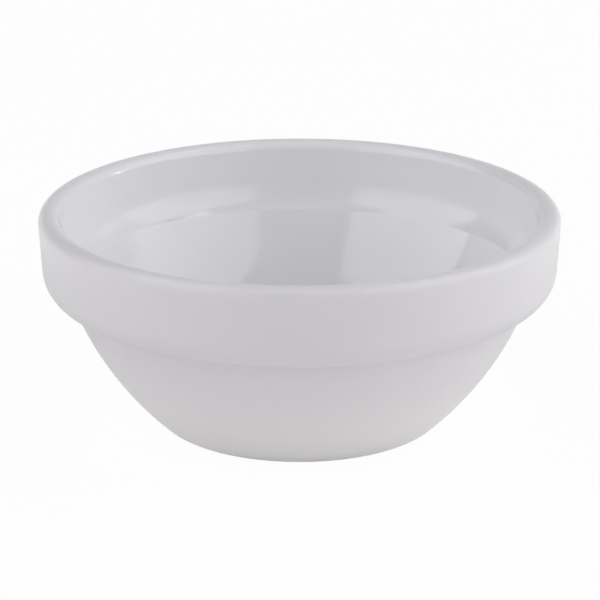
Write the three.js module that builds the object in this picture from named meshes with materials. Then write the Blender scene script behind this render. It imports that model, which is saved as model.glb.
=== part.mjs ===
// Stackable sauce pot: a thick-walled white moulding whose eating face carries a pressed-on layer of glaze.
// Millimetres, +Z up. The origin is the centre of the surface that the pot stands on.
// Every solid is a half section, points (radius, height), turned about the Z axis.
import * as THREE from 'three';

// Overall sizes
const LIP_DIAMETER = 70;
const HEIGHT = 29.8;
const WALL = 2.8;

// Stacking band below the lip, which leans outwards, and the quarter-round shoulder under it
const BAND_DRAFT = THREE.MathUtils.degToRad(4);
const SHOULDER_UNDERSIDE = 18.1;
const SHOULDER_RADIUS = 4;
const SHOULDER_END_ANGLE = THREE.MathUtils.degToRad(-86);

// Bowl: the flank is one arc from the shoulder's end to the edge of the foot, which the heel rounds off
const FLANK_RADIUS = 44;
const FOOT_EDGE_RADIUS = 18;
const HEEL_RADIUS = 3.8;

// Base: a flat foot ring around a shallow recess with sloping sides
const FOOT_RING_WIDTH = 3;
const RECESS_DEPTH = 0.8;
const RECESS_SIDE_WIDTH = 0.6;
const FLOOR_THICKNESS = 2.8;

// Eating face: the step above the shoulder, with a hollow round and a small edge, then the flank and the floor
const STEP_HOLLOW_RADIUS = 7;
const STEP_SLOPE = THREE.MathUtils.degToRad(41);
const STEP_EDGE_RADIUS = 0.2;
const SHOULDER_WALL = 2.4;
const INNER_FLANK_RADIUS = 50;
const FLOOR_CORNER_RADIUS = 8;
const BOWL_WALL = 2;

// Glaze layer, which ends on the lip where the two halves of the mould part
const GLAZE_THICKNESS = 0.4;
const PARTING_ANGLE = THREE.MathUtils.degToRad(26);

// Fineness of the facets
const CHORD_ERROR = 0.05;
const TURN_STEPS = 64;
const SAME_POINT = 1e-4;

// Point at a distance from a centre. Angles run from outwards towards upwards.
function polar(centre, distance, angle) {
  return new THREE.Vector2(Math.cos(angle), Math.sin(angle)).multiplyScalar(distance).add(centre);
}

// Points of an arc from one angle to another, both ends included
function arc(centre, radius, from, to) {
  const largestStep = 2 * Math.acos(1 - CHORD_ERROR / radius);
  const steps = Math.ceil(Math.abs(to - from) / largestStep);
  return Array.from({ length: steps + 1 }, (_, i) => polar(centre, radius, from + ((to - from) * i) / steps));
}

// Point at given distances from two points, on the left of the way from the first to the second.
function meetingPoint(first, firstDistance, second, secondDistance) {
  const way = second.clone().sub(first);
  const along = (way.lengthSq() + firstDistance ** 2 - secondDistance ** 2) / (2 * way.length());
  const aside = Math.sqrt(firstDistance ** 2 - along ** 2);
  const left = new THREE.Vector2(-way.y, way.x);
  return first.clone().add(way.setLength(along)).add(left.setLength(aside));
}

// Point at a height and at a distance from a centre, on its outer side.
function beside(centre, distance, height) {
  return new THREE.Vector2(centre.x + Math.sqrt(distance ** 2 - (height - centre.y) ** 2), height);
}

// Direction in which a point is seen from a centre.
function angleTo(centre, point) {
  return Math.atan2(point.y - centre.y, point.x - centre.x);
}

// Joins runs of points end to end and keeps a point that two runs share only once.
function join(...runs) {
  return runs.flat().filter((point, i, all) => i === 0 || point.distanceTo(all[i - 1]) > SAME_POINT);
}

// The full-round lip, as thick as the wall
const lipRadius = WALL / 2;
const lipCentre = new THREE.Vector2(LIP_DIAMETER / 2 - lipRadius, HEIGHT - lipRadius);

// Point at a height and at a distance from the band's middle line, which runs down from the lip's centre.
function besideBand(height, distance) {
  const middle = lipCentre.x + (height - lipCentre.y) * Math.tan(BAND_DRAFT);
  return new THREE.Vector2(middle + distance / Math.cos(BAND_DRAFT), height);
}

const shoulderCentre = besideBand(SHOULDER_UNDERSIDE + SHOULDER_RADIUS, WALL / 2 - SHOULDER_RADIUS);
const crease = polar(shoulderCentre, SHOULDER_RADIUS, SHOULDER_END_ANGLE);
const footEdge = new THREE.Vector2(FOOT_EDGE_RADIUS, 0);
const flankCentre = meetingPoint(footEdge, FLANK_RADIUS, crease, FLANK_RADIUS);
const heelCentre = beside(flankCentre, FLANK_RADIUS - HEEL_RADIUS, HEEL_RADIUS);

// The step keeps its wall above the shoulder, and the inner flank keeps its own at the edge of the floor
const stepHollowHeight = SHOULDER_UNDERSIDE + SHOULDER_WALL + STEP_HOLLOW_RADIUS * Math.sin(STEP_SLOPE);
const stepHollowCentre = besideBand(stepHollowHeight, -WALL / 2 - STEP_HOLLOW_RADIUS);
const glazedEdgeRadius = STEP_EDGE_RADIUS + GLAZE_THICKNESS;
const stepEdgeCentre = polar(stepHollowCentre, STEP_HOLLOW_RADIUS + glazedEdgeRadius, -STEP_SLOPE);
const floorHeight = RECESS_DEPTH + FLOOR_THICKNESS;
const innerFlankCentre = meetingPoint(
  beside(flankCentre, FLANK_RADIUS - BOWL_WALL, floorHeight),
  INNER_FLANK_RADIUS,
  stepEdgeCentre,
  INNER_FLANK_RADIUS + glazedEdgeRadius,
);
const floorCornerCentre = beside(
  innerFlankCentre,
  INNER_FLANK_RADIUS - FLOOR_CORNER_RADIUS,
  floorHeight + FLOOR_CORNER_RADIUS,
);

// Underside and outside, from the middle of the recess to the parting line on the lip
function outerFace() {
  const footRingInside = heelCentre.x - FOOT_RING_WIDTH;
  const heelAngle = angleTo(flankCentre, heelCentre);
  return join(
    [
      new THREE.Vector2(0, RECESS_DEPTH),
      new THREE.Vector2(footRingInside - RECESS_SIDE_WIDTH, RECESS_DEPTH),
      new THREE.Vector2(footRingInside, 0),
    ],
    arc(heelCentre, HEEL_RADIUS, -Math.PI / 2, heelAngle),
    arc(flankCentre, FLANK_RADIUS, heelAngle, angleTo(flankCentre, crease)),
    arc(shoulderCentre, SHOULDER_RADIUS, SHOULDER_END_ANGLE, -BAND_DRAFT),
    arc(lipCentre, lipRadius, -BAND_DRAFT, PARTING_ANGLE),
  );
}

// Eating face, from the parting line to the middle of the floor, at a depth below the glazed surface
function eatingFace(depth) {
  const edgeAngle = angleTo(innerFlankCentre, stepEdgeCentre);
  const cornerAngle = angleTo(innerFlankCentre, floorCornerCentre);
  return join(
    arc(lipCentre, lipRadius - depth, PARTING_ANGLE, Math.PI - BAND_DRAFT),
    arc(stepHollowCentre, STEP_HOLLOW_RADIUS + depth, -BAND_DRAFT, -STEP_SLOPE),
    arc(stepEdgeCentre, glazedEdgeRadius - depth, Math.PI - STEP_SLOPE, Math.PI + edgeAngle),
    arc(innerFlankCentre, INNER_FLANK_RADIUS + depth, edgeAngle, cornerAngle),
    arc(floorCornerCentre, FLOOR_CORNER_RADIUS + depth, cornerAngle, -Math.PI / 2),
    [new THREE.Vector2(0, floorHeight - depth)],
  );
}

// Turns a half section that starts and ends on the axis into a named solid that stands along +Z.
function turned(name, section, material) {
  const geometry = new THREE.LatheGeometry(section, TURN_STEPS).rotateX(Math.PI / 2);
  const mesh = new THREE.Mesh(geometry, material);
  mesh.name = name;
  return mesh;
}

// The moulding, with the underside of the glaze as its inner face
function potBody() {
  const satinPlastic = new THREE.MeshStandardMaterial({ color: '#e7e5e7', roughness: 0.5, metalness: 0 });
  return turned('pot_body', join(outerFace(), eatingFace(GLAZE_THICKNESS)), satinPlastic);
}

// The glaze, which covers the floor, the flank, the step, the band and the top of the lip
function innerGlaze() {
  const glossyGlaze = new THREE.MeshStandardMaterial({ color: '#edecee', roughness: 0.1, metalness: 0 });
  const underside = eatingFace(GLAZE_THICKNESS).reverse();
  return turned('inner_glaze', join(underside, eatingFace(0)), glossyGlaze);
}

const saucePot = new THREE.Group();
saucePot.add(potBody(), innerGlaze());

export default saucePot;
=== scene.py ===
import math

import bpy
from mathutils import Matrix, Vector

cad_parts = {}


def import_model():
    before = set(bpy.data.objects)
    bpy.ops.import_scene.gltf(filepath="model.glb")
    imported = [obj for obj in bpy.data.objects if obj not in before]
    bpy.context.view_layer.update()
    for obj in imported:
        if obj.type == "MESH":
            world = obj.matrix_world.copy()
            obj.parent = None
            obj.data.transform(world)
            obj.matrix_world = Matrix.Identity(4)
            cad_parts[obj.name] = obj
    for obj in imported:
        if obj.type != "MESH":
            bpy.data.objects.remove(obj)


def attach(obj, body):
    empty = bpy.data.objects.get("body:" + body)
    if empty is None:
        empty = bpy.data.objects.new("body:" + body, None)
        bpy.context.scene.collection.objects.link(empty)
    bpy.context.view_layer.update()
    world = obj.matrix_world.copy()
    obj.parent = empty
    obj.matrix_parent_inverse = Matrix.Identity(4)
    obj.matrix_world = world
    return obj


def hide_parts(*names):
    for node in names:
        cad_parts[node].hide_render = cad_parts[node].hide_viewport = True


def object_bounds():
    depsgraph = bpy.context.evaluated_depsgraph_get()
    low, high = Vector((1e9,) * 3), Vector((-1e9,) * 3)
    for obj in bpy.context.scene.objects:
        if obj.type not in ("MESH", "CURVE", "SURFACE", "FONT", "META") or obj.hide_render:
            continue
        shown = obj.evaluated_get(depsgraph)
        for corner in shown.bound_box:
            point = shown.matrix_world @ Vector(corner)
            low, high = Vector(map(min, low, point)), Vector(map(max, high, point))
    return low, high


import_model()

CAD_LOW, CAD_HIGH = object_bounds()

# Sizes of the half section, points (radius, height), in metres
MM = 0.001
LIP_REACH = CAD_HIGH.x
HEIGHT = CAD_HIGH.z
WALL = 2.8 * MM
BAND_DRAFT = math.radians(4)
SHOULDER_UNDERSIDE = 18.1 * MM
SHOULDER_RADIUS = 4 * MM
SHOULDER_END_ANGLE = math.radians(-86)
CREASE_RADIUS = 0.25 * MM
FLANK_RADIUS = 44 * MM
FOOT_EDGE_RADIUS = 18 * MM
HEEL_RADIUS = 3.8 * MM
FOOT_RING_WIDTH = 3 * MM
RECESS_DEPTH = 0.8 * MM
RECESS_SIDE_WIDTH = 0.6 * MM
RECESS_CORNER_RADIUS = 0.4 * MM
FLOOR_THICKNESS = 2.8 * MM
STEP_HOLLOW_RADIUS = 7 * MM
STEP_SLOPE = math.radians(41)
STEP_EDGE_RADIUS = 0.2 * MM
SHOULDER_WALL = 2.4 * MM
INNER_FLANK_RADIUS = 50 * MM
FLOOR_CORNER_RADIUS = 8 * MM
BOWL_WALL = 2 * MM
GLAZE_THICKNESS = 0.4 * MM
PARTING_ANGLE = math.radians(26)

# Fineness of the turned meshes
CHORD_ERROR = 0.003 * MM
LARGEST_TURN = math.radians(2)
TURN_STEPS = 192
SAME_POINT = 1e-4 * MM
SHARP_ANGLE = math.radians(40)

# Finishes
MOULDED_WHITE = (0.806, 0.802, 0.805, 1)
CLOUDED_WHITE = (0.796, 0.792, 0.795, 1)
# Painted light: the white that the bowl is blended into towards the foot is paler, standing in for light
# bounced up from the floor
PAINTED_BOUNCE_WHITE = (0.893, 0.885, 0.883, 1)
RUBBED_WHITE = (0.790, 0.785, 0.780, 1)
GLAZED_WHITE = (0.851, 0.851, 0.870, 1)
SMEARED_WHITE = (0.837, 0.837, 0.860, 1)
OUTSIDE_ROUGHNESS = 0.65
LIP_ROUGHNESS = 0.35
RUBBED_ROUGHNESS = 0.7
INSIDE_ROUGHNESS = 0.06
SMEARED_ROUGHNESS = 0.09
PLASTIC_IOR = 1.5
CLOUD_SIZE = 14 * MM
GRAIN_SIZE = 0.7 * MM
GRAIN_DEPTH = 0.0008 * MM
SCUFF_SIZE = 1.5 * MM
RUBBED_HEIGHT = 0.3 * MM
WAVE_SIZE = 9 * MM
WAVE_DEPTH = 0.008 * MM
SMEAR_SIZE = 6 * MM
SATIN_EASE = 0.4 * MM

# Camera
CAMERA_ELEVATION = math.radians(18.34)
CAMERA_DISTANCE = 532.5 * MM
CAMERA_AIM = Vector((0.05 * MM, 0, 16.83 * MM))
LENS_MM = 236.7
SENSOR_WIDTH_MM = 36
NEAREST_SEEN = 0.05
FARTHEST_SEEN = 20

# Lamps are upright rectangles. Azimuths are in degrees, 0 towards the camera and growing to its right.
# A lamp faces the pot from one azimuth and has its edges at two others, its bottom and top at two heights in
# metres, and a radiance at each edge, between which the radiance changes evenly.
LAMP_DISTANCE = 0.7
SOFTBOXES = {
    "right_softbox": {"facing": 64.5, "edges": (24, 99), "heights": (0.10, 0.78), "radiances": (1.34, 2.28)},
    "right_top": {"facing": 90, "edges": (65, 115), "heights": (0.85, 1.5), "radiances": (3.0, 3.0)},
    "right_rear": {"facing": 113, "edges": (99.5, 127), "heights": (0.15, 0.8), "radiances": (1.2, 0.65)},
    "left_softbox": {"facing": -66, "edges": (-101, -29), "heights": (0.12, 0.90), "radiances": (2.0, 1.58)},
    "left_top": {"facing": -90, "edges": (-115, -65), "heights": (0.95, 1.6), "radiances": (3.15, 3.15)},
    "back_panel": {"facing": 163, "edges": (103, 223), "heights": (0.01, 0.5), "radiances": (0.55, 0.6)},
}
GLINT_LAMP = {"facing": 100, "edges": (97, 103), "heights": (0.065, 0.09), "radiances": (60, 60)}
AMBIENT = (0.05, 0.038, 0.055, 1)

# Floor with a low sweep around it, a hair below the foot ring
FLOOR_COLOR = (0.955, 0.949, 0.952, 1)
FLOOR_ROUGHNESS = 0.9
FLOOR_WHITENESS = 0.96
FLOOR_REACH = 3.0
FLOOR_GAP = 0.03 * MM
SWEEP_RADIUS = 0.2


def polar(centre, distance, angle):
    """Point at a distance from a centre. Angles run from outwards towards upwards."""
    return centre + distance * Vector((math.cos(angle), math.sin(angle)))


def arc(centre, radius, start, end):
    """Points of an arc, both ends included."""
    largest_step = min(2 * math.acos(1 - CHORD_ERROR / radius), LARGEST_TURN)
    steps = math.ceil(abs(end - start) / largest_step)
    return [polar(centre, radius, start + (end - start) * i / steps) for i in range(steps + 1)]


def meeting_point(first, first_distance, second, second_distance):
    """Point at given distances from two points, on the left of the way from the first to the second."""
    way = second - first
    along = (way.length_squared + first_distance**2 - second_distance**2) / (2 * way.length)
    aside = math.sqrt(first_distance**2 - along**2)
    direction = way.normalized()
    return first + along * direction + aside * Vector((-direction.y, direction.x))


def beside(centre, distance, height):
    """Point at a height and at a distance from a centre, on its outer side."""
    return Vector((centre.x + math.sqrt(distance**2 - (height - centre.y) ** 2), height))


def angle_to(centre, point):
    """Direction in which a point is seen from a centre."""
    return math.atan2(point.y - centre.y, point.x - centre.x)


def join(*runs):
    """Runs of points end to end, with a point that two runs share kept once."""
    points = []
    for point in (p for run in runs for p in run):
        if not points or (point - points[-1]).length > SAME_POINT:
            points.append(point)
    return points


def rounded(before, corner, after, radius):
    """Points of the arc that rounds off a corner between two neighbours."""
    back = (before - corner).normalized()
    ahead = (after - corner).normalized()
    half_opening = back.angle(ahead) / 2
    centre = corner + (back + ahead).normalized() * radius / math.sin(half_opening)
    reach = radius / math.tan(half_opening)
    start = angle_to(centre, corner + back * reach)
    turn = math.remainder(angle_to(centre, corner + ahead * reach) - start, math.tau)
    return arc(centre, radius, start, start + turn)


# The full-round lip, as thick as the wall
lip_radius = WALL / 2
lip_centre = Vector((LIP_REACH - lip_radius, HEIGHT - lip_radius))


def beside_band(height, distance):
    """Point at a height and at a distance from the band's middle line, which passes the lip's centre."""
    middle = lip_centre.x + (height - lip_centre.y) * math.tan(BAND_DRAFT)
    return Vector((middle + distance / math.cos(BAND_DRAFT), height))


# Centres of the outer arcs
shoulder_centre = beside_band(SHOULDER_UNDERSIDE + SHOULDER_RADIUS, WALL / 2 - SHOULDER_RADIUS)
crease = polar(shoulder_centre, SHOULDER_RADIUS, SHOULDER_END_ANGLE)
flank_centre = meeting_point(Vector((FOOT_EDGE_RADIUS, 0)), FLANK_RADIUS, crease, FLANK_RADIUS)
crease_centre = meeting_point(
    shoulder_centre, SHOULDER_RADIUS + CREASE_RADIUS, flank_centre, FLANK_RADIUS + CREASE_RADIUS
)
heel_centre = beside(flank_centre, FLANK_RADIUS - HEEL_RADIUS, HEEL_RADIUS)

# Centres of the inner arcs
step_hollow_height = SHOULDER_UNDERSIDE + SHOULDER_WALL + STEP_HOLLOW_RADIUS * math.sin(STEP_SLOPE)
step_hollow_centre = beside_band(step_hollow_height, -WALL / 2 - STEP_HOLLOW_RADIUS)
glazed_edge_radius = STEP_EDGE_RADIUS + GLAZE_THICKNESS
step_edge_centre = polar(step_hollow_centre, STEP_HOLLOW_RADIUS + glazed_edge_radius, -STEP_SLOPE)
floor_height = RECESS_DEPTH + FLOOR_THICKNESS
inner_flank_centre = meeting_point(
    beside(flank_centre, FLANK_RADIUS - BOWL_WALL, floor_height),
    INNER_FLANK_RADIUS,
    step_edge_centre,
    INNER_FLANK_RADIUS + glazed_edge_radius,
)
floor_corner_centre = beside(
    inner_flank_centre, INNER_FLANK_RADIUS - FLOOR_CORNER_RADIUS, floor_height + FLOOR_CORNER_RADIUS
)


def outer_face():
    """Underside and outside, from the middle of the recess to the parting line on the lip."""
    foot_ring_inside = heel_centre.x - FOOT_RING_WIDTH
    middle = Vector((0, RECESS_DEPTH))
    recess_edge = Vector((foot_ring_inside - RECESS_SIDE_WIDTH, RECESS_DEPTH))
    ring_inside = Vector((foot_ring_inside, 0))
    heel_start = Vector((heel_centre.x, 0))
    heel_angle = angle_to(flank_centre, heel_centre)
    crease_start = angle_to(crease_centre, flank_centre)
    crease_end = angle_to(crease_centre, shoulder_centre)
    return join(
        [middle],
        rounded(middle, recess_edge, ring_inside, RECESS_CORNER_RADIUS),
        rounded(recess_edge, ring_inside, heel_start, RECESS_CORNER_RADIUS),
        arc(heel_centre, HEEL_RADIUS, -math.pi / 2, heel_angle),
        arc(flank_centre, FLANK_RADIUS, heel_angle, angle_to(flank_centre, crease_centre)),
        arc(crease_centre, CREASE_RADIUS, crease_start, crease_end),
        arc(shoulder_centre, SHOULDER_RADIUS, angle_to(shoulder_centre, crease_centre), -BAND_DRAFT),
        arc(lip_centre, lip_radius, -BAND_DRAFT, PARTING_ANGLE),
    )


def eating_face(depth):
    """Eating face, from the parting line to the middle of the floor, at a depth below the glazed surface."""
    edge_angle = angle_to(inner_flank_centre, step_edge_centre)
    corner_angle = angle_to(inner_flank_centre, floor_corner_centre)
    return join(
        arc(lip_centre, lip_radius - depth, PARTING_ANGLE, math.pi - BAND_DRAFT),
        arc(step_hollow_centre, STEP_HOLLOW_RADIUS + depth, -BAND_DRAFT, -STEP_SLOPE),
        arc(step_edge_centre, glazed_edge_radius - depth, math.pi - STEP_SLOPE, math.pi + edge_angle),
        arc(inner_flank_centre, INNER_FLANK_RADIUS + depth, edge_angle, corner_angle),
        arc(floor_corner_centre, FLOOR_CORNER_RADIUS + depth, corner_angle, -math.pi / 2),
        [Vector((0, floor_height - depth))],
    )


def turned(name, section):
    """Smooth mesh object of a half section turned about Z, closed if the section's ends are on the axis."""
    vertices, rings, faces = [], [], []
    for point in section:
        ring_steps = 1 if point.x < SAME_POINT else TURN_STEPS
        rings.append(range(len(vertices), len(vertices) + ring_steps))
        for step in range(ring_steps):
            turn = math.tau * step / TURN_STEPS
            vertices.append((point.x * math.cos(turn), point.x * math.sin(turn), point.y))
    for lower, upper in zip(rings, rings[1:]):
        for step in range(TURN_STEPS):
            following = (step + 1) % TURN_STEPS
            corners = [
                lower[step % len(lower)],
                lower[following % len(lower)],
                upper[following % len(upper)],
                upper[step % len(upper)],
            ]
            faces.append(list(dict.fromkeys(corners)))
    mesh = bpy.data.meshes.new(name)
    mesh.from_pydata(vertices, [], faces)
    mesh.shade_smooth()
    mesh.set_sharp_from_angle(angle=SHARP_ANGLE)
    piece = bpy.data.objects.new(name, mesh)
    bpy.context.scene.collection.objects.link(piece)
    return piece


def new_material(name):
    """Node material, its node tree and its Principled shader."""
    material = bpy.data.materials.new(name)
    material.use_nodes = True
    shader = material.node_tree.nodes["Principled BSDF"]
    return material, material.node_tree, shader


def place_on_pot(tree):
    """Sockets with a point's place on the pot, its height and its distance from the axis."""
    place = tree.nodes.new("ShaderNodeTexCoord").outputs["Object"]
    parts = tree.nodes.new("ShaderNodeSeparateXYZ")
    tree.links.new(place, parts.inputs[0])
    level = tree.nodes.new("ShaderNodeCombineXYZ")
    tree.links.new(parts.outputs["X"], level.inputs["X"])
    tree.links.new(parts.outputs["Y"], level.inputs["Y"])
    length = tree.nodes.new("ShaderNodeVectorMath")
    length.operation = "LENGTH"
    tree.links.new(level.outputs[0], length.inputs[0])
    return place, parts.outputs["Z"], length.outputs["Value"]


def noise(tree, place, size):
    """Soft noise from 0 to 1 with features of a size."""
    texture = tree.nodes.new("ShaderNodeTexNoise")
    texture.inputs["Scale"].default_value = 1 / size
    tree.links.new(place, texture.inputs["Vector"])
    return texture.outputs["Fac"]


def ramp(tree, value, start, end, low=0, high=1):
    """Smooth change from a low result at one value to a high result at another."""
    change = tree.nodes.new("ShaderNodeMapRange")
    change.interpolation_type = "SMOOTHSTEP"
    change.inputs["From Min"].default_value = start
    change.inputs["From Max"].default_value = end
    change.inputs["To Min"].default_value = low
    change.inputs["To Max"].default_value = high
    tree.links.new(value, change.inputs["Value"])
    return change.outputs["Result"]


def set_or_link(tree, source, target):
    """Gives a socket a constant or links it to another socket."""
    if isinstance(source, bpy.types.NodeSocket):
        tree.links.new(source, target)
    else:
        target.default_value = source


def combine(tree, operation, first, second):
    """Result of a math operation on two values, each a constant or a socket."""
    node = tree.nodes.new("ShaderNodeMath")
    node.operation = operation
    set_or_link(tree, first, node.inputs[0])
    set_or_link(tree, second, node.inputs[1])
    return node.outputs[0]


def blend(tree, kind, factor, first, second):
    """Blend of two colours or of two values, each a constant or a socket."""
    mix = tree.nodes.new("ShaderNodeMix")
    mix.data_type = kind
    factor_in, first_in, second_in = (socket for socket in mix.inputs if socket.enabled)
    tree.links.new(factor, factor_in)
    set_or_link(tree, first, first_in)
    set_or_link(tree, second, second_in)
    return next(socket for socket in mix.outputs if socket.enabled)


def uneven(tree, shader, height, depth):
    """Lets a height pattern tilt the shading of a surface."""
    bump = tree.nodes.new("ShaderNodeBump")
    bump.inputs["Distance"].default_value = depth
    tree.links.new(height, bump.inputs["Height"])
    tree.links.new(bump.outputs["Normal"], shader.inputs["Normal"])


def white_plastic():
    """Satin white moulding, painted paler towards the foot as painted light bounced up from the floor,
    glossier near the lip and rubbed on the foot ring.
    """
    material, tree, shader = new_material("white_plastic")
    place, height, _ = place_on_pot(tree)
    clouds = noise(tree, place, CLOUD_SIZE)
    rubbed = combine(tree, "MULTIPLY", ramp(tree, height, RUBBED_HEIGHT, 0), noise(tree, place, SCUFF_SIZE))
    colour = blend(tree, "RGBA", clouds, MOULDED_WHITE, CLOUDED_WHITE)
    # Painted light: the colour is blended paler towards the foot, as painted light bounced up from the floor
    colour = blend(tree, "RGBA", ramp(tree, height, SHOULDER_UNDERSIDE, 0), colour, PAINTED_BOUNCE_WHITE)
    colour = blend(tree, "RGBA", rubbed, colour, RUBBED_WHITE)
    roughness = ramp(tree, height, shoulder_centre.y, lip_centre.y, OUTSIDE_ROUGHNESS, LIP_ROUGHNESS)
    roughness = blend(tree, "FLOAT", rubbed, roughness, RUBBED_ROUGHNESS)
    tree.links.new(colour, shader.inputs["Base Color"])
    tree.links.new(roughness, shader.inputs["Roughness"])
    uneven(tree, shader, noise(tree, place, GRAIN_SIZE), GRAIN_DEPTH)
    shader.inputs["IOR"].default_value = PLASTIC_IOR
    return material


def white_glaze():
    """High-gloss white glaze, a little wavy and smeared, which turns satin over the lip."""
    material, tree, shader = new_material("white_glaze")
    place, _, radius = place_on_pot(tree)
    inner_edge = lip_centre.x - lip_radius
    smears = noise(tree, place, SMEAR_SIZE)
    colour = blend(tree, "RGBA", smears, GLAZED_WHITE, SMEARED_WHITE)
    colour = blend(tree, "RGBA", ramp(tree, radius, inner_edge, LIP_REACH), colour, MOULDED_WHITE)
    satin = ramp(tree, radius, inner_edge, inner_edge + SATIN_EASE)
    roughness = ramp(tree, smears, 0, 1, INSIDE_ROUGHNESS, SMEARED_ROUGHNESS)
    roughness = blend(tree, "FLOAT", satin, roughness, LIP_ROUGHNESS)
    tree.links.new(colour, shader.inputs["Base Color"])
    tree.links.new(roughness, shader.inputs["Roughness"])
    uneven(tree, shader, noise(tree, place, WAVE_SIZE), WAVE_DEPTH)
    shader.inputs["IOR"].default_value = PLASTIC_IOR
    return material


def background_rays(tree):
    """1 for the rays that see the background: camera, glossy and transmission rays."""
    path = tree.nodes.new("ShaderNodeLightPath")
    seen = path.outputs["Is Camera Ray"]
    for other in ("Is Glossy Ray", "Is Transmission Ray"):
        seen = combine(tree, "MAXIMUM", seen, path.outputs[other])
    return seen


def floor_paper():
    """Pale paper that looks nearly white to the camera and in reflections, and keeps a soft shadow."""
    material, tree, shader = new_material("floor_paper")
    shader.inputs["Base Color"].default_value = FLOOR_COLOR
    shader.inputs["Roughness"].default_value = FLOOR_ROUGHNESS
    shader.inputs["Specular IOR Level"].default_value = 0
    white = tree.nodes.new("ShaderNodeEmission")
    mix = tree.nodes.new("ShaderNodeMixShader")
    whiteness = combine(tree, "MULTIPLY", background_rays(tree), FLOOR_WHITENESS)
    tree.links.new(whiteness, mix.inputs["Fac"])
    tree.links.new(shader.outputs[0], mix.inputs[1])
    tree.links.new(white.outputs[0], mix.inputs[2])
    tree.links.new(mix.outputs[0], tree.nodes["Material Output"].inputs["Surface"])
    return material


def floor():
    """Round floor with its sweep."""
    sweep = arc(Vector((FLOOR_REACH, SWEEP_RADIUS - FLOOR_GAP)), SWEEP_RADIUS, -math.pi / 2, 0)
    ground = turned("floor", [Vector((0, -FLOOR_GAP))] + sweep)
    ground.data.materials.append(floor_paper())


def world():
    """Dim even light from all around."""
    surroundings = bpy.data.worlds.new("studio")
    bpy.context.scene.world = surroundings
    surroundings.use_nodes = True
    surroundings.node_tree.nodes["Background"].inputs["Color"].default_value = AMBIENT


def shade_across(lamp, radiances):
    """Lets a lamp's strength change evenly from its first upright edge to its second."""
    lamp.use_nodes = True
    tree = lamp.node_tree
    place = tree.nodes.new("ShaderNodeNewGeometry")
    parts = tree.nodes.new("ShaderNodeSeparateXYZ")
    strength = tree.nodes.new("ShaderNodeMapRange")
    strength.inputs["To Min"].default_value, strength.inputs["To Max"].default_value = radiances
    tree.links.new(place.outputs["Parametric"], parts.inputs[0])
    tree.links.new(parts.outputs["X"], strength.inputs["Value"])
    tree.links.new(strength.outputs[0], tree.nodes["Emission"].inputs["Strength"])


def softbox(name, facing, edges, heights, radiances):
    """Upright lamp that faces the pot. The power per area makes its strength its radiance."""
    azimuth = math.radians(facing)
    start, end = (LAMP_DISTANCE * math.tan(math.radians(edge - facing)) for edge in edges)
    bottom, top = heights
    outwards = Vector((math.sin(azimuth), -math.cos(azimuth), 0))
    along = Vector((math.cos(azimuth), math.sin(azimuth), 0))
    lamp = bpy.data.lights.new(name, "AREA")
    lamp.shape = "RECTANGLE"
    lamp.size = end - start
    lamp.size_y = top - bottom
    lamp.energy = math.pi * lamp.size * lamp.size_y
    shade_across(lamp, radiances)
    box = bpy.data.objects.new(name, lamp)
    box.location = outwards * LAMP_DISTANCE + along * (start + end) / 2 + Vector((0, 0, (bottom + top) / 2))
    box.rotation_euler = (-outwards).to_track_quat("-Z", "Y").to_euler()
    box.visible_camera = False
    bpy.context.scene.collection.objects.link(box)
    return box


def lamps():
    """The softboxes, and a small lamp that shows only in gloss and makes a glint on the lip."""
    for name, lamp in SOFTBOXES.items():
        softbox(name, **lamp)
    glint = softbox("glint_lamp", **GLINT_LAMP)
    glint.visible_diffuse = False


def camera():
    """Camera at the photograph's angle."""
    data = bpy.data.cameras.new("camera")
    data.lens = LENS_MM
    data.sensor_width = SENSOR_WIDTH_MM
    data.clip_start = NEAREST_SEEN
    data.clip_end = FARTHEST_SEEN
    eye = bpy.data.objects.new("camera", data)
    back = Vector((0, -math.cos(CAMERA_ELEVATION), math.sin(CAMERA_ELEVATION)))
    eye.location = CAMERA_AIM + back * CAMERA_DISTANCE
    eye.rotation_euler = (-back).to_track_quat("-Z", "Y").to_euler()
    bpy.context.scene.collection.objects.link(eye)
    bpy.context.scene.camera = eye


def dress(piece, node, material):
    """Puts a turned piece in the place of its CAD node."""
    piece.data.materials.append(material)
    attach(piece, "root")
    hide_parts(node)


body = turned("moulded_pot", join(outer_face(), eating_face(GLAZE_THICKNESS)))
glaze = turned("glazed_inside", join(eating_face(GLAZE_THICKNESS)[::-1], eating_face(0)))
dress(body, "pot_body", white_plastic())
dress(glaze, "inner_glaze", white_glaze())

floor()
world()
lamps()
camera()
bpy.context.scene.view_settings.view_transform = "Standard"
